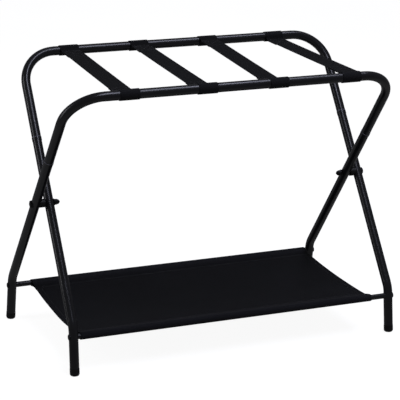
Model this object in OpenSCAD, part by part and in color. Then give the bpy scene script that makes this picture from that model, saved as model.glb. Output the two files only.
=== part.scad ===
// Folding luggage rack: two bent-tube frames that cross at their pivots,
// webbing straps across the top rails and a fabric shelf on the lower crossbars.
// Millimetres. +Z up, +X along the rails, +Y towards the back.
// Origin on the floor, at the middle of the four feet.

/* [Overall] */
// Distance between the two leg centres of one frame, at its top
leg_spacing = 635; // [560:1:700]
// Height of the top rails' centre line above the floor
rail_height = 524.5; // [480:0.5:580]
// Distance of each top rail's centre line from the middle plane
rail_reach = 181; // [160:1:205]
// Distance of each knee's corner point from the middle plane
knee_reach = 145.5; // [130:0.5:165]
// Height of each knee's corner point above the floor
knee_height = 87.5; // [80:0.5:110]
// Sideways step between the two crossing frames
frame_offset = 26; // [24:0.5:34]

/* [Tubes] */
// Outside diameter of the frame tubes
tube_d = 17.5; // [16:0.5:19]
// Wall thickness of the frame tubes
tube_wall = 1.2; // [1:0.1:1.6]
// Centre-line radius of the top corners
corner_radius = 66; // [50:1:90]
// Centre-line radius of the knees
knee_radius = 40; // [30:1:42]
// Outward lean of the feet, in degrees
foot_splay = 7.3; // [4:0.1:10]
// Sideways flare of each leg between its top and its knee
leg_flare = 5; // [0:0.5:8]
// Distance along the leg from the rail to the tube joint
joint_drop = 172; // [140:1:200]
// Extra radius of the belled joint end
bell_step = 0.45; // [0.2:0.05:0.8]

/* [Crossbars] */
// Height of the crossbars' centre line above the floor
bar_height = 71.5; // [60:0.5:72]
// Outside diameter of the crossbars
bar_d = 10.5; // [9:0.5:12]
// Wall thickness of the crossbars
bar_wall = 1.1; // [0.8:0.1:1.4]
// Shank diameter of the crossbar screws
bar_screw_d = 5; // [4:1:6]

/* [Pivots] */
// Shank diameter of the pivot bolts
bolt_d = 6; // [5:1:8]
// Radial running clearance of a bolt in the leg that turns on it
bolt_play = 0.06; // [0.02:0.01:0.1]
// Diameter of the round spacers between the frames
spacer_d = 16; // [14:0.5:17]

/* [Straps] */
// Width of the webbing
strap_w = 38; // [30:1:45]
// Thickness of the webbing
strap_t = 1.6; // [1.2:0.1:2.2]
// Distance of the inner straps' middle from the rack's middle
inner_strap_x = 72; // [60:1:90]
// Distance of the outer straps' middle from the rack's middle
outer_strap_x = 216; // [190:1:225]
// Sideways slant of each strap over its half length
strap_slant = 5.5; // [0:0.5:8]

/* [Shelf] */
// Width of the fabric shelf
shelf_w = 594; // [540:1:598]
// Thickness of the shelf fabric
shelf_t = 1.5; // [1.2:0.1:2]
// Sag of the fabric in its middle
shelf_sag = 10; // [4:1:20]

/* [Hidden] */
$fn = 64;
tube_r = tube_d / 2;
bore_r = tube_r - tube_wall;
bar_r = bar_d / 2;
bar_bore_r = bar_r - bar_wall;
screw_r = bar_screw_d / 2;
bolt_r = bolt_d / 2;
spacer_r = spacer_d / 2;
soft_gap = 0.3;
// The upper part of a frame is flat: it leans by `lean` and is `knee_drop` deep.
lean = atan2(rail_reach + knee_reach, rail_height - knee_height);
plane_drop = norm([rail_reach + knee_reach, rail_height - knee_height]);
flare = atan2(leg_flare, plane_drop);
knee_drop = plane_drop / cos(flare);
corner_t = corner_radius * tan((90 - flare) / 2);
knee_bend = lean - foot_splay;
knee_t = knee_radius * tan(knee_bend / 2);
// Unit direction of a foot, down, outward along Y and outward along X.
foot_dz = sin(knee_bend) * sin(lean) + cos(knee_bend) * cos(flare) * cos(lean);
foot_dy = cos(knee_bend) * cos(flare) * sin(lean) - sin(knee_bend) * cos(lean);
foot_dx = cos(knee_bend) * sin(flare);
foot_drop = knee_height / foot_dz;
// Crossbar ends, on the feet's centre lines.
bar_drop = (knee_height - bar_height) / foot_dz;
bar_y = knee_reach + bar_drop * foot_dy;
bar_x = leg_spacing / 2 + leg_flare + bar_drop * foot_dx;
// Pivot axis, along X over the middle of the floor.
pivot_part = rail_reach / (rail_reach + knee_reach);
pivot_z = rail_height - pivot_part * (rail_height - knee_height);
pivot_half = leg_spacing / 2 + pivot_part * leg_flare;
outer_x = pivot_half + frame_offset / 2;
inner_x = pivot_half - frame_offset / 2;
// Joint, foot and fastener details.
bend_step = 0.12;
bend_lap = 0.4;
spigot_r = bore_r - 0.05;
spigot_len = 28;
bell_len = 7;
seam = 0.5;
cap_r = tube_r + 0.3;
cap_head = 13;
head_h = 2.4;
washer_h = 0.8;
nut_af = 10;
loop_r = tube_r + soft_gap;
sleeve_r = bar_r + soft_gap;

// The second frame is the first one turned half round about Z.
// Frame 0 has its rail in front and its feet at the back, frame 1 the reverse.
module in_frame(f) {
    rotate([0, 0, 180 * f])
        translate([-frame_offset / 2, -rail_reach, rail_height])
            rotate([lean, 0, 0])
                children();
}

// Leg coordinates: origin at the sharp top corner, leg along -Z.
module on_leg(side) {
    translate([side * leg_spacing / 2, 0, 0])
        rotate([0, -side * flare, 0])
            children();
}

// Foot coordinates: origin where the foot's centre line meets the floor.
module on_foot(side) {
    on_leg(side)
        translate([0, 0, -knee_drop])
            rotate([-knee_bend, 0, 0])
                translate([0, 0, -foot_drop])
                    children();
}

// Bent tube from a face at the origin: it leaves along -Z and turns towards -Y.
// It is a hair thinner than the straights and laps into them at both ends.
module elbow(bend_radius, angle, r) {
    lap = bend_lap / bend_radius * 180 / PI;
    translate([0, -bend_radius, 0])
        rotate([90, 0, 90])
            rotate([0, 0, -angle - lap])
                rotate_extrude(angle = angle + 2 * lap)
                    translate([bend_radius, 0])
                        circle(r - bend_step);
}

// Rail, two corners and the straight legs down to a given drop.
module rail_path(r, drop) {
    translate([-leg_spacing / 2 + corner_t, 0, 0])
        rotate([0, 90, 0])
            cylinder(h = leg_spacing - 2 * corner_t, r = r);
    for (side = [-1, 1])
        on_leg(side) {
            translate([0, 0, -corner_t])
                rotate([0, 0, side * 90])
                    rotate([180, 0, 0])
                        elbow(corner_radius, 90 - flare, r);
            translate([0, 0, -drop])
                cylinder(h = drop - corner_t, r = r);
        }
}

// Straight leg from a given drop, the knee, and the foot down to `stop` above the floor.
module leg_path(r, drop, stop) {
    translate([0, 0, -(knee_drop - knee_t)]) {
        cylinder(h = knee_drop - knee_t - drop, r = r);
        elbow(knee_radius, knee_bend, r);
    }
    translate([0, 0, -knee_drop])
        rotate([-knee_bend, 0, 0])
            translate([0, 0, -(foot_drop - stop)])
                cylinder(h = foot_drop - stop - knee_t, r = r);
}

module upper_tube(f) {
    color("#17171a")
        in_frame(f)
            difference() {
                union() {
                    rail_path(tube_r, joint_drop);
                    for (side = [-1, 1])
                        on_leg(side)
                            translate([0, 0, -joint_drop - spigot_len])
                                cylinder(h = spigot_len + 1, r = spigot_r);
                }
                rail_path(bore_r, joint_drop - 6);
                for (side = [-1, 1])
                    on_leg(side)
                        translate([0, 0, -joint_drop - spigot_len - 1])
                            cylinder(h = spigot_len + 8, r = spigot_r - tube_wall);
            }
}

// The leg `side` of frame f: the outer one of its pair for side -1, the inner one for side 1.
module lower_leg(f, side) {
    leg_x = side < 0 ? outer_x : inner_x;
    color("#17171a")
        difference() {
            in_frame(f)
                on_leg(side)
                    difference() {
                        union() {
                            leg_path(tube_r, joint_drop + seam, cap_head);
                            translate([0, 0, -joint_drop - seam - bell_len])
                                cylinder(h = bell_len, r = tube_r + bell_step);
                        }
                        leg_path(bore_r, joint_drop, cap_head - 5);
                    }
            rotate([0, 0, 180 * f])
                translate([side * leg_x, 0, pivot_z])
                    rotate([0, 90, 0])
                        cylinder(h = 3 * tube_r, r = bolt_r + bolt_play, center = true);
            rotate([0, 0, 180 * f])
                translate([-frame_offset / 2 + side * bar_x, bar_y, bar_height])
                    rotate([0, 90, 0])
                        cylinder(h = 3 * tube_r, r = screw_r + 0.2, center = true);
        }
}

// Outside of both legs of frame f, to shape what seats on them.
module leg_envelope(f, side) {
    in_frame(f)
        on_leg(side)
            leg_path(tube_r, joint_drop + 30, cap_head);
}

module crossbar(f) {
    color("#17171a")
        difference() {
            rotate([0, 0, 180 * f])
                translate([-frame_offset / 2, bar_y, bar_height])
                    rotate([0, 90, 0])
                        difference() {
                            cylinder(h = 2 * bar_x, r = bar_r, center = true);
                            cylinder(h = 2 * bar_x + 2, r = bar_bore_r, center = true);
                        }
            leg_envelope(f, -1);
            leg_envelope(f, 1);
        }
}

// Fastener coordinates at a crossbar end: origin on the leg's outer face, +Z inward.
module at_bar_end(f, side) {
    rotate([0, 0, 180 * f])
        translate([-frame_offset / 2 + side * (bar_x + tube_r), bar_y, bar_height])
            rotate([0, -side * 90, 0])
                children();
}

module bar_insert(f, side) {
    color("#9a9c9f")
        at_bar_end(f, side)
            translate([0, 0, tube_d + 0.5])
                difference() {
                    cylinder(h = 14, r = bar_bore_r);
                    translate([0, 0, -1])
                        cylinder(h = 16, r = screw_r);
                }
}

// Low domed head with a hex socket, top at -Z.
module button_head(r, socket_r) {
    dome = (r * r + 1.4 * 1.4) / 2.8;
    difference() {
        intersection() {
            translate([0, 0, -head_h])
                cylinder(h = head_h, r = r);
            translate([0, 0, dome - head_h])
                sphere(r = dome, $fn = 128);
        }
        translate([0, 0, -head_h - 1])
            cylinder(h = 2.4, r = socket_r, $fn = 6);
    }
}

module bar_screw(f, side) {
    color("#1b1b1e") {
        difference() {
            at_bar_end(f, side)
                translate([0, 0, 0.6]) {
                    button_head(5.6, 1.7);
                    cylinder(h = 1, r = 5.6);
                }
            leg_envelope(f, side);
        }
        at_bar_end(f, side)
            translate([0, 0, -0.6])
                cylinder(h = tube_d + 12, r = screw_r);
    }
}

// Foot plug: rounded head below the tube, stem inside it, flat where it meets the floor.
module foot_plug(f, side) {
    color("#101012")
        difference() {
            in_frame(f)
                on_foot(side)
                    rotate_extrude()
                        union() {
                            translate([0, -1])
                                square([cap_r - 5, cap_head]);
                            translate([0, 4])
                                square([cap_r, cap_head - 4]);
                            intersection() {
                                translate([cap_r - 5, 4])
                                    circle(5);
                                translate([0, -2])
                                    square([cap_r, 10]);
                            }
                            translate([0, cap_head - 1])
                                square([bore_r - 0.1, 15]);
                        }
            translate([0, 0, -10])
                cube([leg_spacing * 2, rail_reach * 4, 20], center = true);
        }
}

// Pivot set p, 0 on the left and 1 on the right, as built on the outer leg of frame p.
// Coordinates: origin on the pivot axis in the outer leg's outer face, +Z inward.
module at_pivot(p) {
    rotate([0, 0, 180 * p])
        translate([-outer_x - tube_r, 0, pivot_z])
            rotate([0, 90, 0])
                children();
}

module pivot_bolt(p) {
    color("#1b1b1e")
        at_pivot(p)
            translate([0, 0, -washer_h]) {
                button_head(6.2, 2.3);
                translate([0, 0, -0.4])
                    cylinder(h = washer_h + frame_offset + tube_d + 9, r = bolt_r);
            }
}

module pivot_saddle(p) {
    color("#131315")
        difference() {
            at_pivot(p)
                translate([0, 0, -washer_h])
                    difference() {
                        cylinder(h = washer_h + 4, r = 7);
                        translate([0, 0, -1])
                            cylinder(h = 20, r = bolt_r + 0.1);
                    }
            leg_envelope(p, -1);
        }
}

module pivot_spacer(p) {
    color("#131315")
        difference() {
            at_pivot(p)
                translate([0, 0, tube_d - 5.5])
                    difference() {
                        cylinder(h = frame_offset - tube_d + 5.5 - soft_gap, r = spacer_r);
                        translate([0, 0, -1])
                            cylinder(h = 20, r = bolt_r + 0.1);
                    }
            leg_envelope(p, -1);
        }
}

module pivot_washer(p) {
    color("#1b1b1e")
        at_pivot(p)
            translate([0, 0, frame_offset + tube_d + soft_gap])
                difference() {
                    cylinder(h = 1, r = 6.4);
                    translate([0, 0, -1])
                        cylinder(h = 3, r = bolt_r + 0.1);
                }
}

module cap_nut(p) {
    color("#1b1b1e")
        at_pivot(p)
            translate([0, 0, frame_offset + tube_d + soft_gap + 1])
                difference() {
                    union() {
                        cylinder(h = 5, r = nut_af / 2 / cos(30), $fn = 6);
                        translate([0, 0, 4.5])
                            cylinder(h = 3, r = 4.6);
                        translate([0, 0, 7.5])
                            cylinder(h = 2.8, r1 = 4.6, r2 = 1.6);
                    }
                    translate([0, 0, -1])
                        cylinder(h = 9, r = bolt_r);
                }
}

// Webbing strap: a loop round each rail and a flat span level with their middles.
module strap(x) {
    span_y = rail_reach - loop_r - strap_t / 2;
    span_slant = strap_slant * span_y / rail_reach;
    color("#202024") {
        for (side = [-1, 1])
            translate([x + side * strap_slant, side * rail_reach, rail_height])
                rotate([0, 90, 0])
                    difference() {
                        cylinder(h = strap_w, r = loop_r + strap_t, center = true);
                        cylinder(h = strap_w + 2, r = loop_r, center = true);
                    }
        translate([0, 0, rail_height - strap_t / 2])
            linear_extrude(strap_t)
                polygon([
                    [x - span_slant - strap_w / 2, -span_y],
                    [x - span_slant + strap_w / 2, -span_y],
                    [x + span_slant + strap_w / 2, span_y],
                    [x + span_slant - strap_w / 2, span_y]
                ]);
    }
}

// Fabric shelf: a sleeve round each crossbar and a sagging sheet between them.
module shelf() {
    sheet_r = (bar_y * bar_y + shelf_sag * shelf_sag) / (2 * shelf_sag);
    top_z = bar_height + sleeve_r + shelf_t;
    color("#1f1f23")
        rotate([90, 0, 90]) {
            for (side = [-1, 1])
                translate([side * bar_y, bar_height, 0])
                    difference() {
                        cylinder(h = shelf_w, r = sleeve_r + shelf_t, center = true);
                        cylinder(h = shelf_w + 2, r = sleeve_r, center = true);
                    }
            linear_extrude(shelf_w, center = true)
                intersection() {
                    translate([0, top_z - shelf_sag + sheet_r])
                        difference() {
                            circle(sheet_r + shelf_t, $fn = 720);
                            circle(sheet_r, $fn = 720);
                        }
                    translate([-bar_y, 0])
                        square([2 * bar_y, bar_height + 40]);
                }
        }
}

upper_tube(0);  // front_rail_tube
lower_leg(0, -1);  // back_left_leg
lower_leg(0, 1);  // back_right_leg
crossbar(0);  // back_crossbar
bar_insert(0, -1);  // back_left_insert
bar_insert(0, 1);  // back_right_insert
bar_screw(0, -1);  // back_left_screw
bar_screw(0, 1);  // back_right_screw
foot_plug(0, -1);  // back_left_foot
foot_plug(0, 1);  // back_right_foot
upper_tube(1);  // back_rail_tube
lower_leg(1, 1);  // front_left_leg
lower_leg(1, -1);  // front_right_leg
crossbar(1);  // front_crossbar
bar_insert(1, 1);  // front_left_insert
bar_insert(1, -1);  // front_right_insert
bar_screw(1, 1);  // front_left_screw
bar_screw(1, -1);  // front_right_screw
foot_plug(1, 1);  // front_left_foot
foot_plug(1, -1);  // front_right_foot
pivot_bolt(0);  // left_bolt
pivot_saddle(0);  // left_saddle
pivot_spacer(0);  // left_spacer
pivot_washer(0);  // left_washer
cap_nut(0);  // left_cap_nut
pivot_bolt(1);  // right_bolt
pivot_saddle(1);  // right_saddle
pivot_spacer(1);  // right_spacer
pivot_washer(1);  // right_washer
cap_nut(1);  // right_cap_nut
strap(-outer_strap_x);  // strap_1
strap(-inner_strap_x);  // strap_2
strap(inner_strap_x);  // strap_3
strap(outer_strap_x);  // strap_4
shelf();  // shelf_fabric
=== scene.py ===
import bpy
import math
import numpy as np
from mathutils import Matrix, Vector


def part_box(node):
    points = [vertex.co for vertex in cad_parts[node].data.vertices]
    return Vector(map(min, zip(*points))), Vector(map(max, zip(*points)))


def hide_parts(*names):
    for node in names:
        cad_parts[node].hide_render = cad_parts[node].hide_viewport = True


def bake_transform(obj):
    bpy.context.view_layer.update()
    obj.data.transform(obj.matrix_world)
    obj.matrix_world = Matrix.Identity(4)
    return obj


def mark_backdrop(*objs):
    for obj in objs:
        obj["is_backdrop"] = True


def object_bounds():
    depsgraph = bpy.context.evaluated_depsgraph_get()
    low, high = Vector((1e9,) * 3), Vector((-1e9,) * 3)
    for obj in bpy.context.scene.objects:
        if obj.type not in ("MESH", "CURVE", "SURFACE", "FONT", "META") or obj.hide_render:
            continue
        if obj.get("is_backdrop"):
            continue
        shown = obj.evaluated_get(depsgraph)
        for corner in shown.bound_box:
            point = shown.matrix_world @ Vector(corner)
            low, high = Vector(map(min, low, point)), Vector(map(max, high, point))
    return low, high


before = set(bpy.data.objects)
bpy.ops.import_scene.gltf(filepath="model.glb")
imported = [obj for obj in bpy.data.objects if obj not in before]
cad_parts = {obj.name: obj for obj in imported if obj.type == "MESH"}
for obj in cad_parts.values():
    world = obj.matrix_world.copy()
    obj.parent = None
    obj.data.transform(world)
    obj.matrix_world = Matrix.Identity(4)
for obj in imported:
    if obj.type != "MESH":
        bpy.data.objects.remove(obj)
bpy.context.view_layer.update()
scene = bpy.context.scene
scene.view_settings.view_transform = "Standard"

# Metres from here on. The rails' and crossbars' places and radii come from the frame.
MM = 0.001
loop_lo, loop_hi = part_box("strap_1")
LOOP_R = round((loop_hi[2] - loop_lo[2]) / 2, 5)    # outside the frame's own strap loops
TUBE_R = LOOP_R - 1.9 * MM
RAIL_Y = (loop_hi[1] - loop_lo[1]) / 2 - LOOP_R
RAIL_Z = (loop_hi[2] + loop_lo[2]) / 2
bar_lo, bar_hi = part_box("back_crossbar")
BAR_R = round((bar_hi[2] - bar_lo[2]) / 2, 5)
BAR_Y = (bar_lo[1] + bar_hi[1]) / 2
BAR_Z = (bar_lo[2] + bar_hi[2]) / 2
LEAN = math.radians(36.76)  # of each frame's upper part
LIP = 356.0 * MM            # top edge of the lower legs, measured up along that lean
STRAP_LEN = 555 * MM        # flat length of a strap, and how far from its middle its loops get painted light
STRAP_PAINTED_LIGHT = (180 * MM, 208 * MM)
SHELF_LEN = 400 * MM        # the same for the shelf: its length, and where its sleeves get painted light
SHELF_PAINTED_LIGHT = (138 * MM, 175 * MM)


# ---------------------------------------------------------------- camera
def make_camera():
    """The photo's view: azimuth, elevation and roll about a point in the middle of the rack."""
    az, el, roll = (math.radians(a) for a in (-23.156, 17.573, 1.368))
    distance, shift = 3.3505, 0.96 * MM
    back = Vector((math.sin(az) * math.cos(el), -math.cos(az) * math.cos(el), math.sin(el)))
    fwd = -back
    right = fwd.cross(Vector((0, 0, 1))).normalized()
    up = right.cross(fwd)
    right, up = (math.cos(roll) * right + math.sin(roll) * up,
                 -math.sin(roll) * right + math.cos(roll) * up)
    target = Vector((-0.003, 0, 0.2551)) - shift * right + shift * up
    cam = bpy.data.objects.new("camera", bpy.data.cameras.new("camera"))
    scene.collection.objects.link(cam)
    cam.data.lens = 157.24
    cam.data.sensor_width = 36
    cam.data.clip_start = 0.1
    cam.data.clip_end = 60
    m = Matrix((right, up, back)).transposed().to_4x4()
    m.translation = target + distance * back
    cam.matrix_world = m
    scene.camera = cam


make_camera()


# ---------------------------------------------------------------- materials
class Nodes:
    """Small helper for one material's node tree."""

    def __init__(self, name):
        self.mat = bpy.data.materials.new(name)
        self.mat.use_nodes = True
        self.t = self.mat.node_tree
        self.b = self.t.nodes["Principled BSDF"]

    def add(self, kind):
        return self.t.nodes.new(kind)

    def link(self, a, b):
        self.t.links.new(a, b)

    def coords(self, scale=(1, 1, 1)):
        """Object coordinates, stretched by scale."""
        tc = self.add("ShaderNodeTexCoord")
        mp = self.add("ShaderNodeMapping")
        mp.inputs["Scale"].default_value = scale
        self.link(tc.outputs["Object"], mp.inputs["Vector"])
        return mp.outputs["Vector"]

    def uv(self):
        """The mesh's own two coordinates, in metres."""
        tc = self.add("ShaderNodeTexCoord")
        split = self.add("ShaderNodeSeparateXYZ")
        self.link(tc.outputs["UV"], split.inputs[0])
        return split.outputs["X"], split.outputs["Y"]

    def noise(self, vec, scale, detail=2.0, rough=0.5):
        n = self.add("ShaderNodeTexNoise")
        n.inputs["Scale"].default_value = scale
        n.inputs["Detail"].default_value = detail
        n.inputs["Roughness"].default_value = rough
        self.link(vec, n.inputs["Vector"])
        return n.outputs["Fac"]

    def math(self, op, a, b=None, c=None):
        n = self.add("ShaderNodeMath")
        n.operation = op
        for i, x in enumerate((a, b, c)):
            if x is None:
                continue
            if isinstance(x, (int, float)):
                n.inputs[i].default_value = x
            else:
                self.link(x, n.inputs[i])
        return n.outputs[0]

    def span(self, fac, lo, hi, from_lo=0.0, from_hi=1.0):
        """Maps from_lo..from_hi to lo..hi, and holds the ends."""
        n = self.add("ShaderNodeMapRange")
        n.inputs["From Min"].default_value = from_lo
        n.inputs["From Max"].default_value = from_hi
        n.inputs["To Min"].default_value = lo
        n.inputs["To Max"].default_value = hi
        self.link(fac, n.inputs["Value"])
        return n.outputs["Result"]

    def ramp(self, fac, stops):
        n = self.add("ShaderNodeValToRGB")
        e = n.color_ramp.elements
        while len(e) < len(stops):
            e.new(0.5)
        for item, (pos, col) in zip(e, stops):
            item.position = pos
            item.color = (*col, 1)
        self.link(fac, n.inputs["Fac"])
        return n.outputs["Color"]

    def window(self, value, lo, hi, soft):
        """1 where value lies between lo and hi, falling to 0 over soft on both sides."""
        rise = self.span(value, 0, 1, lo - soft, lo)
        return self.math("MULTIPLY", rise, self.span(value, 1, 0, hi, hi + soft))

    def brighten(self, color, gain, mask):
        """The colour times gain where mask is 1."""
        n = self.add("ShaderNodeVectorMath")
        n.operation = "SCALE"
        self.link(color, n.inputs[0])
        self.link(self.math("MULTIPLY_ADD", mask, gain - 1, 1.0), n.inputs["Scale"])
        return n.outputs[0]

    def bump(self, height, strength, distance, under=None):
        n = self.add("ShaderNodeBump")
        n.inputs["Strength"].default_value = strength
        n.inputs["Distance"].default_value = distance
        self.link(height, n.inputs["Height"])
        if under is not None:
            self.link(under, n.inputs["Normal"])
        return n.outputs["Normal"]


def powder_coat(name, tone=1.0, rough=0.3, painted_lip_highlight=False):
    """Satin black powder coat: fine orange peel, faint cloudiness and light handling scuffs. With the lip
    option, the top edge of a lower leg gets a painted highlight: a thin bright ring where the upper tube
    plugs into it."""
    k = Nodes(name)
    vec = k.coords()
    cloud = k.noise(vec, 18, 3)
    scuff = k.noise(k.coords(scale=(1, 1, 0.25)), 240, 4, 0.7)
    scuffed = k.span(scuff, 0, 1, 0.68, 0.8)
    mixed = k.math("ADD", k.math("MULTIPLY", cloud, 0.7), k.math("MULTIPLY", scuffed, 0.3))
    color = k.ramp(mixed, [(0.2, (0.0090 * tone, 0.0090 * tone, 0.0115 * tone)),
                           (0.7, (0.0130 * tone, 0.0130 * tone, 0.0165 * tone)),
                           (1.0, (0.030 * tone, 0.030 * tone, 0.036 * tone))])
    if painted_lip_highlight:
        at = k.add("ShaderNodeSeparateXYZ")
        k.link(vec, at.inputs[0])
        up = k.math("MULTIPLY_ADD", k.math("ABSOLUTE", at.outputs["Y"]), math.sin(LEAN),
                    k.math("MULTIPLY", at.outputs["Z"], math.cos(LEAN)))
        # painted highlight: the coat's colour lightened 26 times in a thin ring at the lower leg's top edge
        color = k.brighten(color, 26.0, k.window(up, LIP - 0.5 * MM, LIP + 1 * MM, 0.4 * MM))
    k.link(color, k.b.inputs["Base Color"])
    k.link(k.math("ADD", k.span(cloud, rough - 0.05, rough + 0.05, 0.3, 0.7),
                  k.math("MULTIPLY", scuffed, 0.06)), k.b.inputs["Roughness"])
    peel = k.noise(vec, 700, 2, 0.6)
    wide = k.noise(vec, 90, 1)
    k.link(k.bump(peel, 0.05, 0.0002, k.bump(wide, 0.03, 0.001)), k.b.inputs["Normal"])
    k.b.inputs["Specular IOR Level"].default_value = 0.5
    return k.mat


def black_oxide(name):
    """Blackened steel fasteners with bare, rubbed high spots."""
    k = Nodes(name)
    vec = k.coords()
    grain = k.noise(vec, 1500, 3, 0.6)
    rub = k.noise(vec, 260, 3)
    k.link(k.ramp(rub, [(0.35, (0.010, 0.010, 0.011)), (0.62, (0.022, 0.022, 0.024)),
                        (0.80, (0.085, 0.083, 0.080))]), k.b.inputs["Base Color"])
    k.link(k.span(grain, 0.28, 0.48), k.b.inputs["Roughness"])
    k.b.inputs["Metallic"].default_value = 0.7
    k.link(k.bump(grain, 0.15, 0.0001), k.b.inputs["Normal"])
    return k.mat


def zinc(name):
    """Zinc-plated steel with faint crystals."""
    k = Nodes(name)
    vec = k.coords()
    spangle = k.noise(vec, 420, 3)
    k.link(k.ramp(spangle, [(0.3, (0.42, 0.43, 0.44)), (0.7, (0.62, 0.62, 0.60))]),
           k.b.inputs["Base Color"])
    k.link(k.span(spangle, 0.3, 0.45), k.b.inputs["Roughness"])
    k.b.inputs["Metallic"].default_value = 1.0
    k.link(k.bump(spangle, 0.1, 0.0002), k.b.inputs["Normal"])
    return k.mat


def moulded(name, base, rough, dusty=False):
    """Moulded black nylon or rubber: matt grain, and floor dust low down on the feet."""
    k = Nodes(name)
    vec = k.coords()
    grain = k.noise(vec, 900, 4, 0.65)
    cloud = k.noise(vec, 60, 2)
    fac = cloud
    if dusty:
        z = k.add("ShaderNodeSeparateXYZ")
        k.link(vec, z.inputs[0])
        low = k.span(z.outputs["Z"], 1.0, 0.0, 0.5 * MM, 6 * MM)
        fac = k.math("ADD", k.math("MULTIPLY", cloud, 0.6), k.math("MULTIPLY", low, 0.4))
    k.link(k.ramp(fac, [(0.25, tuple(c * 0.8 for c in base)), (0.6, base),
                        (1.0, tuple(c * 3.5 + 0.01 for c in base))]), k.b.inputs["Base Color"])
    k.link(k.span(grain, rough - 0.08, rough + 0.08), k.b.inputs["Roughness"])
    k.b.inputs["Specular IOR Level"].default_value = 0.35
    k.link(k.bump(grain, 0.25, 0.0002), k.b.inputs["Normal"])
    return k.mat


def webbing(name):
    """Woven webbing with fuzz, with painted light: its loops round the rails are painted paler."""
    k = Nodes(name)
    along, across = k.uv()
    # lengthwise cords, and picks across them that are staggered cord by cord
    cord_pitch, pick_pitch = 1.9 * MM, 1.2 * MM
    cord = k.math("SINE", k.math("MULTIPLY", across, 2 * math.pi / cord_pitch))
    stagger = k.math("MULTIPLY", k.math("SINE", k.math("MULTIPLY", across, math.pi / cord_pitch)), 1.6)
    pick = k.math("SINE", k.math("ADD", k.math("MULTIPLY", along, 2 * math.pi / pick_pitch), stagger))
    cord01 = k.math("MULTIPLY_ADD", cord, 0.5, 0.5)
    pick01 = k.math("MULTIPLY_ADD", pick, 0.5, 0.5)
    weave = k.math("ADD", k.math("MULTIPLY", cord01, 0.55), k.math("MULTIPLY", pick01, 0.45))
    vec = k.coords()
    cloud = k.noise(vec, 35, 3)
    fuzz = k.noise(vec, 2600, 2, 0.7)
    tone = k.math("ADD", k.math("MULTIPLY", weave, 0.55),
                  k.math("ADD", k.math("MULTIPLY", cloud, 0.25), k.math("MULTIPLY", fuzz, 0.2)))
    color = k.ramp(tone, [(0.15, (0.0039, 0.0039, 0.0046)), (0.55, (0.0069, 0.0069, 0.0081)),
                          (0.95, (0.0132, 0.0132, 0.0150))])
    # painted light: the loops round the rails are lightened 2.1 times, standing in for light they don't get
    from_middle = k.math("ABSOLUTE", k.math("SUBTRACT", along, STRAP_LEN / 2))
    loops = k.window(from_middle, *STRAP_PAINTED_LIGHT, 6 * MM)
    k.link(k.brighten(color, 2.1, loops), k.b.inputs["Base Color"])
    k.link(k.span(weave, 0.92, 0.74), k.b.inputs["Roughness"])
    k.b.inputs["Specular IOR Level"].default_value = 0.14
    k.b.inputs["Sheen Weight"].default_value = 0.035
    k.b.inputs["Sheen Roughness"].default_value = 0.5
    k.link(k.bump(weave, 0.7, 0.0003, k.bump(fuzz, 0.2, 0.0001)), k.b.inputs["Normal"])
    return k.mat


def cloth(name):
    """Tight plain weave with slubs and soft creases, with painted light: its sleeves round the crossbars are
    painted paler.
    """
    k = Nodes(name)
    across, along = k.uv()
    pitch = 1.1 * MM
    warp = k.math("SINE", k.math("MULTIPLY", across, 2 * math.pi / pitch))
    weft = k.math("SINE", k.math("MULTIPLY", along, 2 * math.pi / pitch))
    over = k.math("MULTIPLY", warp, weft)
    weave = k.math("MULTIPLY_ADD", over, 0.5, 0.5)
    vec = k.coords()
    slub = k.noise(k.coords(scale=(0.15, 1, 1)), 900, 3, 0.6)
    cloud = k.noise(vec, 9, 4)
    crease = k.noise(k.coords(scale=(1, 0.35, 1)), 26, 3, 0.55)
    tone = k.math("ADD", k.math("MULTIPLY", weave, 0.35),
                  k.math("ADD", k.math("MULTIPLY", cloud, 0.4), k.math("MULTIPLY", slub, 0.25)))
    color = k.ramp(tone, [(0.2, (0.0060, 0.0060, 0.0075)), (0.55, (0.0099, 0.0099, 0.0121)),
                          (0.9, (0.0177, 0.0177, 0.0211))])
    # painted light: the sleeves round the crossbars are lightened 1.8 times, standing in for light they
    # don't get
    from_middle = k.math("ABSOLUTE", k.math("SUBTRACT", along, SHELF_LEN / 2))
    sleeves = k.window(from_middle, *SHELF_PAINTED_LIGHT, 10 * MM)
    k.link(k.brighten(color, 1.8, sleeves), k.b.inputs["Base Color"])
    k.link(k.span(weave, 0.95, 0.82), k.b.inputs["Roughness"])
    k.b.inputs["Specular IOR Level"].default_value = 0.12
    k.b.inputs["Sheen Weight"].default_value = 0.035
    k.b.inputs["Sheen Roughness"].default_value = 0.5
    k.link(k.bump(weave, 0.5, 0.0002, k.bump(slub, 0.25, 0.0003, k.bump(crease, 0.25, 0.004))),
           k.b.inputs["Normal"])
    return k.mat


def thread(name):
    """Twisted polyester sewing thread."""
    k = Nodes(name)
    vec = k.coords()
    ply = k.noise(vec, 3200, 2, 0.6)
    k.link(k.ramp(ply, [(0.3, (0.0150, 0.0150, 0.0180)), (0.7, (0.0450, 0.0450, 0.0510))]),
           k.b.inputs["Base Color"])
    k.link(k.span(ply, 0.5, 0.75), k.b.inputs["Roughness"])
    k.b.inputs["Sheen Weight"].default_value = 0.2
    k.link(k.bump(ply, 0.4, 0.0001), k.b.inputs["Normal"])
    return k.mat


M_RAIL = powder_coat("coat_rail", 1.0, 0.25)
M_LEG = powder_coat("coat_leg", 1.0, 0.27, painted_lip_highlight=True)
M_BAR = powder_coat("coat_bar", 0.95, 0.32)
M_FIX = black_oxide("black_oxide")
M_ZINC = zinc("zinc")
M_RUBBER = moulded("rubber", (0.0065, 0.0065, 0.007), 0.62, dusty=True)
M_NYLON = moulded("nylon", (0.006, 0.006, 0.0066), 0.45)
M_WEB = webbing("webbing")
M_CLOTH = cloth("shelf_cloth")
M_THREAD = thread("thread")

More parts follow.
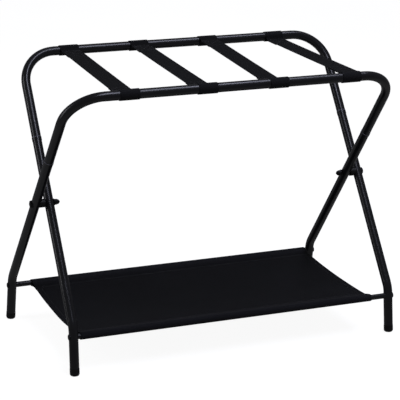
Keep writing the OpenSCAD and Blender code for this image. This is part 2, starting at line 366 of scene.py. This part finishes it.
for name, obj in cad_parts.items():
    if name.endswith("rail_tube"):
        mat = M_RAIL
    elif name.endswith("_leg"):
        mat = M_LEG
    elif name.endswith("crossbar"):
        mat = M_BAR
    elif name.endswith("insert"):
        mat = M_ZINC
    elif name.endswith("foot"):
        mat = M_RUBBER
    elif name.endswith(("saddle", "spacer")):
        mat = M_NYLON
    elif name.endswith(("bolt", "washer", "cap_nut", "screw")):
        mat = M_FIX
    else:
        mat = M_WEB
    for s in obj.material_slots:
        s.material = mat


# ---------------------------------------------------------------- mesh helpers
def new_object(name, verts, faces, mat, uvs=None, smooth=True):
    """Mesh object in the scene; uvs has one pair for each vertex."""
    me = bpy.data.meshes.new(name)
    me.from_pydata([tuple(v) for v in verts], [], faces)
    me.materials.append(mat)
    if uvs is not None:
        layer = me.uv_layers.new(name="UVMap")
        flat = np.empty((len(me.loops), 2), np.float32)
        for i, lp in enumerate(me.loops):
            flat[i] = uvs[lp.vertex_index]
        layer.data.foreach_set("uv", flat.ravel())
    if smooth:
        me.polygons.foreach_set("use_smooth", [True] * len(me.polygons))
    me.update()
    ob = bpy.data.objects.new(name, me)
    scene.collection.objects.link(ob)
    return ob


def resample(points, step):
    """Evenly spaced points along a polyline, with their distance from its start."""
    p = np.array(points, float)
    seg = np.linalg.norm(np.diff(p, axis=0), axis=1)
    s = np.concatenate([[0], np.cumsum(seg)])
    n = max(2, int(round(s[-1] / step)) + 1)
    t = np.linspace(0, s[-1], n)
    return np.stack([np.interp(t, s, p[:, i]) for i in range(p.shape[1])], 1), t


def smooth_path(p, rounds):
    """Rounds off a path's corners and keeps its ends."""
    p = p.copy()
    for _ in range(rounds):
        p[1:-1] = 0.25 * p[:-2] + 0.5 * p[1:-1] + 0.25 * p[2:]
    return p


def path_normals(p):
    """Unit normal at each point of a (y, z) path, to the left of its direction."""
    tan = np.gradient(p, axis=0)
    tan /= np.linalg.norm(tan, axis=1)[:, None]
    return np.stack([-tan[:, 1], tan[:, 0]], 1)


def teardrop(radius, meet, gap, rise=0.0):
    """Loop round a bar at the origin, in (u, z), u being the distance inward. The two layers, gap above
    and below their middle, meet at distance meet from the bar's middle and at height rise."""
    turn = math.asin(rise / meet)
    bite = math.acos(radius / meet)
    pts = [(meet, -gap)]
    pts += [(radius * math.cos(a), radius * math.sin(a)) for a in np.linspace(-bite, bite - 2 * math.pi, 40)]
    pts += [(meet, gap)]
    c, t = math.cos(turn), math.sin(turn)
    return [(c * u - t * z, t * u + c * z) for u, z in pts]


def ribbon(path, x_mid, half_w, thick, cross, edge=0.25):
    """Solid strip swept along a (y, z) path. x_mid gives its middle at each point, and cross the
    share of half_w of each row. Edge rows are rounded. Returns vertices, faces and UVs in metres."""
    p, s = path
    n = len(p)
    nor = path_normals(p)
    ring = [(c, 1.0) for c in cross]
    ring[0] = (cross[0], edge)
    ring[-1] = (cross[-1], edge)
    full = ring + [(c, -t) for c, t in reversed(ring)]
    m = len(full)
    verts, uvs = [], []
    for i in range(n):
        for c, t in full:
            x = x_mid[i] + c * half_w
            off = t * thick / 2
            verts.append((x, p[i, 0] + nor[i, 0] * off, p[i, 1] + nor[i, 1] * off))
            uvs.append((s[i], c * half_w))
    faces = []
    for i in range(n - 1):
        for j in range(m):
            k = (j + 1) % m
            faces.append((i * m + j, i * m + k, (i + 1) * m + k, (i + 1) * m + j))
    faces.append(tuple(range(m - 1, -1, -1)))
    faces.append(tuple((n - 1) * m + j for j in range(m)))
    return verts, faces, uvs


def stitch_bar(points, normals, length, radius, gap):
    """Short raised stitches, one capsule after another, along a 3-D line on a surface."""
    p, s = resample(np.hstack([points, normals]), 0.0004)
    verts, faces = [], []
    total, d = s[-1], gap / 2
    sides, rings = 6, 6
    while d + length < total:
        base = len(verts)
        for r in range(rings):
            f = r / (rings - 1)
            q = np.array([np.interp(d + f * length, s, p[:, i]) for i in range(6)])
            a = np.array([np.interp(min(d + f * length + 0.0002, total), s, p[:, i]) for i in range(3)])
            nrm = q[3:] / np.linalg.norm(q[3:])
            t = a - q[:3]
            t /= np.linalg.norm(t)
            b = np.cross(t, nrm)
            b /= np.linalg.norm(b)
            swell = math.sin(math.pi * (0.08 + 0.84 * f)) ** 0.5
            mid = q[:3] + nrm * (radius * (1.1 * swell - 0.45))
            for k in range(sides):
                ang = 2 * math.pi * k / sides
                verts.append(tuple(mid + radius * swell * (math.cos(ang) * b + math.sin(ang) * nrm)))
        for r in range(rings - 1):
            for k in range(sides):
                j = (k + 1) % sides
                faces.append((base + r * sides + k, base + r * sides + j,
                              base + (r + 1) * sides + j, base + (r + 1) * sides + k))
        faces.append(tuple(base + k for k in range(sides - 1, -1, -1)))
        faces.append(tuple(base + (rings - 1) * sides + k for k in range(sides)))
        d += length + gap
    return verts, faces


def join_parts(parts):
    """One vertex list and one face list from several."""
    verts, faces = [], []
    for v, f in parts:
        base = len(verts)
        verts += v
        faces += [tuple(i + base for i in face) for face in f]
    return verts, faces


# ---------------------------------------------------------------- straps
STRAP_T = 1.2 * MM
STRAP_HALF = 18.6 * MM
LAYER = 0.65 * MM          # half the distance between two sewn layers
MEET = 13.5 * MM           # from a rail's middle to where the two layers meet
OVERLAP = 46 * MM          # sewn double behind each rail
SEAM_FROM, SEAM_TO = 19 * MM, 56 * MM   # stitched box, measured inward from a rail's middle
STRAP_STITCH = (2.3 * MM, 0.28 * MM, 0.5 * MM)   # length, radius and gap


def strap_path(rise_front, rise_back):
    """(y, z) line of the webbing: lower tail, loop round the front rail, span, loop round the back
    rail, tail. Each rise is the height of the strap's line over that rail's middle."""
    radius = TUBE_R + 0.25 * MM + STRAP_T / 2
    ends = []
    for rise in (rise_front, rise_back):
        ends.append((RAIL_Y - MEET * math.cos(math.asin(rise / MEET)), RAIL_Z + rise))
    (yf, zf), (yb, zb) = ends

    def line(y, off):
        f = (y + yf) / (yb + yf)
        return (y, zf + (zb - zf) * f - 0.4 * MM * (1 - (2 * f - 1) ** 2) + off)

    loops = [[(side * (RAIL_Y - u), RAIL_Z + z) for u, z in teardrop(radius, MEET, LAYER, rise)]
             for side, rise in ((-1, rise_front), (1, rise_back))]
    front_tail = [line(y, -LAYER) for y in np.linspace(-yf + OVERLAP, -yf + 4 * MM, 8)]
    back_tail = [line(y, -LAYER) for y in np.linspace(yb - 4 * MM, yb - OVERLAP, 8)]
    span = [line(y, LAYER) for y in np.linspace(-yf + 4 * MM, -yf + OVERLAP, 6)]
    span += [line(y, LAYER) for y in np.linspace(-yf + OVERLAP + 12 * MM, yb - OVERLAP - 12 * MM, 9)]
    span += [line(y, LAYER) for y in np.linspace(yb - OVERLAP, yb - 4 * MM, 6)]
    rough, _ = resample(front_tail + loops[0] + span + loops[1][::-1] + back_tail, 1.2 * MM)
    return resample(smooth_path(rough, 4), 2.2 * MM)


def build_strap(name, x, slant, rises):
    """One strap's webbing and its stitching."""
    path = strap_path(*rises)
    p = path[0]

    def middle(y):
        """The strip slants across the span, and runs square round each rail."""
        return x + slant * np.clip(y / (RAIL_Y - 12 * MM), -1, 1)

    cross = [-1, -0.985, -0.93, -0.8, -0.6, -0.4, -0.2, 0, 0.2, 0.4, 0.6, 0.8, 0.93, 0.985, 1]
    verts, faces, uvs = ribbon(path, middle(p[:, 0]), STRAP_HALF, STRAP_T, cross)
    ob = new_object(name + "_webbing", verts, faces, M_WEB, uvs)
    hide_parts(name)
    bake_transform(ob)

    # box stitching through each sewn overlap: its four sides and a cross, on top and underneath
    run = p[np.abs(p[:, 0]) < RAIL_Y - 14 * MM]
    ys = np.linspace(-RAIL_Y + 16 * MM, RAIL_Y - 16 * MM, 120)
    rows = [[(u, c) for c in np.linspace(-0.84, 0.84, 9)] for u in (SEAM_FROM, SEAM_TO)]
    rows += [[(u, c) for u in np.linspace(SEAM_FROM, SEAM_TO, 9)] for c in (-0.86, 0.86)]
    rows += [[(SEAM_FROM + (SEAM_TO - SEAM_FROM) * f, k * (0.82 - 1.64 * f))
              for f in np.linspace(0.03, 0.97, 12)] for k in (-1, 1)]
    parts = []
    for up, pick in ((1, np.max), (-1, np.min)):
        zs = [pick(run[np.abs(run[:, 0] - y) < 2 * MM][:, 1]) + up * STRAP_T / 2 for y in ys]
        for side in (-1, 1):
            for row in rows:
                pts = []
                for u, c in row:
                    y = side * (RAIL_Y - u)
                    pts.append((middle(y) + c * STRAP_HALF, y, np.interp(y, ys, zs)))
                parts.append(stitch_bar(np.array(pts), np.tile((0, 0, up), (len(pts), 1)), *STRAP_STITCH))
    v, f = join_parts(parts)
    st = new_object(name + "_stitching", v, f, M_THREAD)
    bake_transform(st)


# mm: middle, half of its slant, and the height of its line over the front and the back rail's middle,
# as each loop has settled
STRAPS = {"strap_1": (1.65, 5.55, -2.4, 1.2), "strap_2": (2.85, 3.25, -3.5, 1.7),
          "strap_3": (0.95, 6.55, -4.0, 3.2), "strap_4": (1.25, 5.75, 7.0, -4.6)}
for name, (shift, slant, rise_front, rise_back) in STRAPS.items():
    lo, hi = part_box(name)
    build_strap(name, (lo[0] + hi[0]) / 2 + shift * MM, slant * MM, (rise_front * MM, rise_back * MM))


# ---------------------------------------------------------------- shelf
SHELF_T = 1.0 * MM
SHELF_HALF = 297 * MM
SHELF_LAYER = 0.62 * MM    # half the distance between a sleeve's two layers
SLEEVE_MEET = 22 * MM      # from a crossbar's middle to where the layers meet
LEFT_SAG, RIGHT_SAG, EDGE_SAG = 12.5 * MM, 4.0 * MM, 2.0 * MM
HEM = 11 * MM              # from a side edge to its stitching
SHELF_STITCH = (2.8 * MM, 0.24 * MM, 0.6 * MM)   # length, radius and gap


def belly(y, reach):
    """1 in the middle of the span, falling to 0 at reach short of the crossbars' middles."""
    return 1 - (y / (BAR_Y - reach)) ** 2


def pull_in(c, y):
    """How far the sheet's free side edges pull in where it sags, at share c of its half width."""
    tight = 1.0 if c < 0 else 0.4
    return 3.5 * MM * np.sign(c) * (abs(c) ** 6) * max(0.0, belly(y, 10 * MM)) * tight


def sag(x, y):
    """Drop of the fabric below its edge line: deepest along the free left edge, tighter on the right."""
    k = belly(y, 12 * MM)
    if k <= 0:
        return 0.0
    f = (x + SHELF_HALF) / (2 * SHELF_HALF)
    depth = LEFT_SAG + (RIGHT_SAG - LEFT_SAG) * f + EDGE_SAG * math.exp(-(f / 0.07) ** 2)
    return depth * k


def wrinkle(x, y):
    """Soft creases that fan out from the sleeves, a millimetre or so high."""
    k = max(0.0, belly(y, 20 * MM))
    edge = 1 - k
    w = 0.55 * math.sin(x * 31 + 4 * math.sin(y * 9 + x * 3)) * edge * k * 1.6
    w += 0.35 * math.sin(x * 74 + 2.2 * math.sin(y * 22) + 1.3) * edge * k
    w += 0.4 * math.sin(y * 40 + x * 5 + 2 * math.sin(x * 7)) * k * math.exp(-((x + SHELF_HALF) / 0.10) ** 2)
    w += 0.3 * math.sin(x * 9 + 1.0) * k
    return w * MM


def shelf_path():
    """(y, z) line of the fabric, without its sag, from its front lower hem to its back one."""
    drop = teardrop(BAR_R + 0.9 * MM + SHELF_T / 2, SLEEVE_MEET, SHELF_LAYER)
    tail = [(31 * MM, -SHELF_LAYER), (26 * MM, -SHELF_LAYER)]
    inner = [(u, SHELF_LAYER) for u in (30 * MM, 40 * MM)]
    front = [(-BAR_Y + u, BAR_Z + z) for u, z in tail + drop + inner]
    back = [(BAR_Y - u, BAR_Z + z) for u, z in tail + drop + inner]
    line = front + [(y, BAR_Z + SHELF_LAYER) for y in np.linspace(-0.1, 0.1, 5)] + back[::-1]
    rough, _ = resample(line, 1.5 * MM)
    return resample(smooth_path(rough, 3), 3 * MM)


def build_shelf():
    """The sheet with its sleeves and side hems, and its stitching."""
    p, s = shelf_path()
    n = len(p)
    xs = np.unique(np.concatenate([np.linspace(-1, 1, 119), [-0.998, 0.998, -0.995, 0.995]]))
    m = len(xs)
    nor = path_normals(p)
    verts, uvs = [], []
    for side in (1, -1):
        for i in range(n):
            for j in range(m):
                x = xs[j] * SHELF_HALF
                y, z = p[i]
                x -= pull_in(xs[j], y)
                drop = sag(x, y) + wrinkle(x, y)
                thick = SHELF_T
                if abs(xs[j]) > 0.962 and abs(y) < BAR_Y - 20 * MM:
                    thick = 1.9 * SHELF_T     # folded side hem
                if abs(xs[j]) > 0.9985:
                    thick *= 0.55
                off = side * thick / 2
                verts.append((x, y + nor[i, 0] * off, z - drop + nor[i, 1] * off))
                uvs.append((x, s[i]))
    # top and underside, whose vertices come k later, then the side edges and the two hem ends
    faces = []
    k = n * m
    for i in range(n - 1):
        for j in range(m - 1):
            a, b, c, d = i * m + j, i * m + j + 1, (i + 1) * m + j + 1, (i + 1) * m + j
            faces.append((a, d, c, b))
            faces.append((a + k, b + k, c + k, d + k))
    for i in range(n - 1):
        a, b = i * m, (i + 1) * m
        faces.append((a, a + k, b + k, b))
        a, b = i * m + m - 1, (i + 1) * m + m - 1
        faces.append((a, b, b + k, a + k))
    for j in range(m - 1):
        faces.append((j, j + 1, j + 1 + k, j + k))
        q = (n - 1) * m + j
        faces.append((q, q + k, q + 1 + k, q + 1))
    ob = new_object("shelf_sheet", verts, faces, M_CLOTH, uvs)
    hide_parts("shelf_fabric")
    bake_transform(ob)

    # stitch lines: two along each sleeve and one along each side hem
    parts = []
    for y in (-(BAR_Y - 24 * MM), -(BAR_Y - 27 * MM), BAR_Y - 24 * MM, BAR_Y - 27 * MM):
        pts = np.array([(x, y, BAR_Z + SHELF_LAYER + SHELF_T / 2 - sag(x, y) - wrinkle(x, y))
                        for x in np.linspace(-SHELF_HALF + 4 * MM, SHELF_HALF - 4 * MM, 90)])
        parts.append(stitch_bar(pts, np.tile((0, 0, 1), (len(pts), 1)), *SHELF_STITCH))
    for sx in (-1, 1):
        x = sx * (SHELF_HALF - HEM)
        ys = np.linspace(-(BAR_Y - 30 * MM), BAR_Y - 30 * MM, 60)
        pts = np.array([(x - pull_in(x / SHELF_HALF, y), y,
                         BAR_Z + SHELF_LAYER + 0.9 * SHELF_T - sag(x, y) - wrinkle(x, y)) for y in ys])
        parts.append(stitch_bar(pts, np.tile((0, 0, 1), (len(pts), 1)), *SHELF_STITCH))
    v, f = join_parts(parts)
    st = new_object("shelf_stitching", v, f, M_THREAD)
    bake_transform(st)


build_shelf()


# ---------------------------------------------------------------- floor, lights, world
def make_stage():
    """Pale floor and a surrounding backdrop, both bright by themselves so that they stay plain."""
    k = Nodes("floor")
    n = k.noise(k.coords(), 1.5, 2)
    k.link(k.ramp(n, [(0.3, (0.34, 0.34, 0.34)), (0.7, (0.38, 0.38, 0.38))]), k.b.inputs["Base Color"])
    k.b.inputs["Roughness"].default_value = 0.95
    k.b.inputs["Specular IOR Level"].default_value = 0.1
    k.b.inputs["Emission Color"].default_value = (1, 1, 1, 1)
    k.b.inputs["Emission Strength"].default_value = 0.93
    r, z = 22, -0.4 * MM
    floor = new_object("floor", [(-r, -r, z), (r, -r, z), (r, r, z), (-r, r, z)],
                       [(0, 1, 2, 3)], k.mat, smooth=False)
    k = Nodes("backdrop")
    k.b.inputs["Base Color"].default_value = (0, 0, 0, 1)
    k.b.inputs["Specular IOR Level"].default_value = 0
    k.b.inputs["Emission Color"].default_value = (1, 1, 1, 1)
    k.b.inputs["Emission Strength"].default_value = 1.0
    n, radius, top = 48, 20, 14
    turns = [2 * math.pi * i / n for i in range(n)]
    ring = [(radius * math.cos(a), radius * math.sin(a)) for a in turns]
    verts = [(x, y, z) for z in (-0.5, top) for x, y in ring] + [(0, 0, top)]
    faces = [(i, (i + 1) % n, n + (i + 1) % n, n + i) for i in range(n)]
    faces += [(n + i, n + (i + 1) % n, 2 * n) for i in range(n)]
    drop = new_object("backdrop", verts, faces, k.mat, smooth=False)
    for ob in (floor, drop):
        ob.visible_glossy = False
        ob.visible_diffuse = False
        ob.visible_shadow = False
    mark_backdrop(floor, drop)


def area_light(name, loc, aim, size, radiance, color=(1, 1, 1), along=(1, 0, 0)):
    """A rectangular softbox of the given radiance, its long side lying as near as it can to along."""
    data = bpy.data.lights.new(name, "AREA")
    data.shape = "RECTANGLE"
    data.size, data.size_y = size
    data.energy = radiance * math.pi * size[0] * size[1]
    data.color = color
    ob = bpy.data.objects.new(name, data)
    scene.collection.objects.link(ob)
    z = (Vector(loc) - Vector(aim)).normalized()
    x = (Vector(along) - z * Vector(along).dot(z)).normalized()
    m = Matrix((x, z.cross(x), z)).transposed().to_4x4()
    m.translation = loc
    ob.matrix_world = m


make_stage()
aim = Vector((0, 0, 0.3))
area_light("overhead", aim + 3 * Vector((0.24, -0.27, 0.93)), aim, (2.8, 0.6), 6.6,
           color=(0.78, 0.81, 1.0), along=(0.37, 0.55, 0))
area_light("left_strip", (-1.3, 0.25, 0.75), (0, 0, 0.45), (0.2, 1.0), 3.0,
           color=(0.95, 0.95, 1.0), along=(0, 1, 0))
area_light("bounce", (0, 0, -0.6), (0, 0, 1.0), (4, 4), 0.06)

world = bpy.data.worlds.new("studio")
scene.world = world
world.use_nodes = True
bg = world.node_tree.nodes["Background"]
bg.inputs["Color"].default_value = (0.95, 0.96, 1.0, 1)
bg.inputs["Strength"].default_value = 0.12

lo, hi = [list(v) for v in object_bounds()]
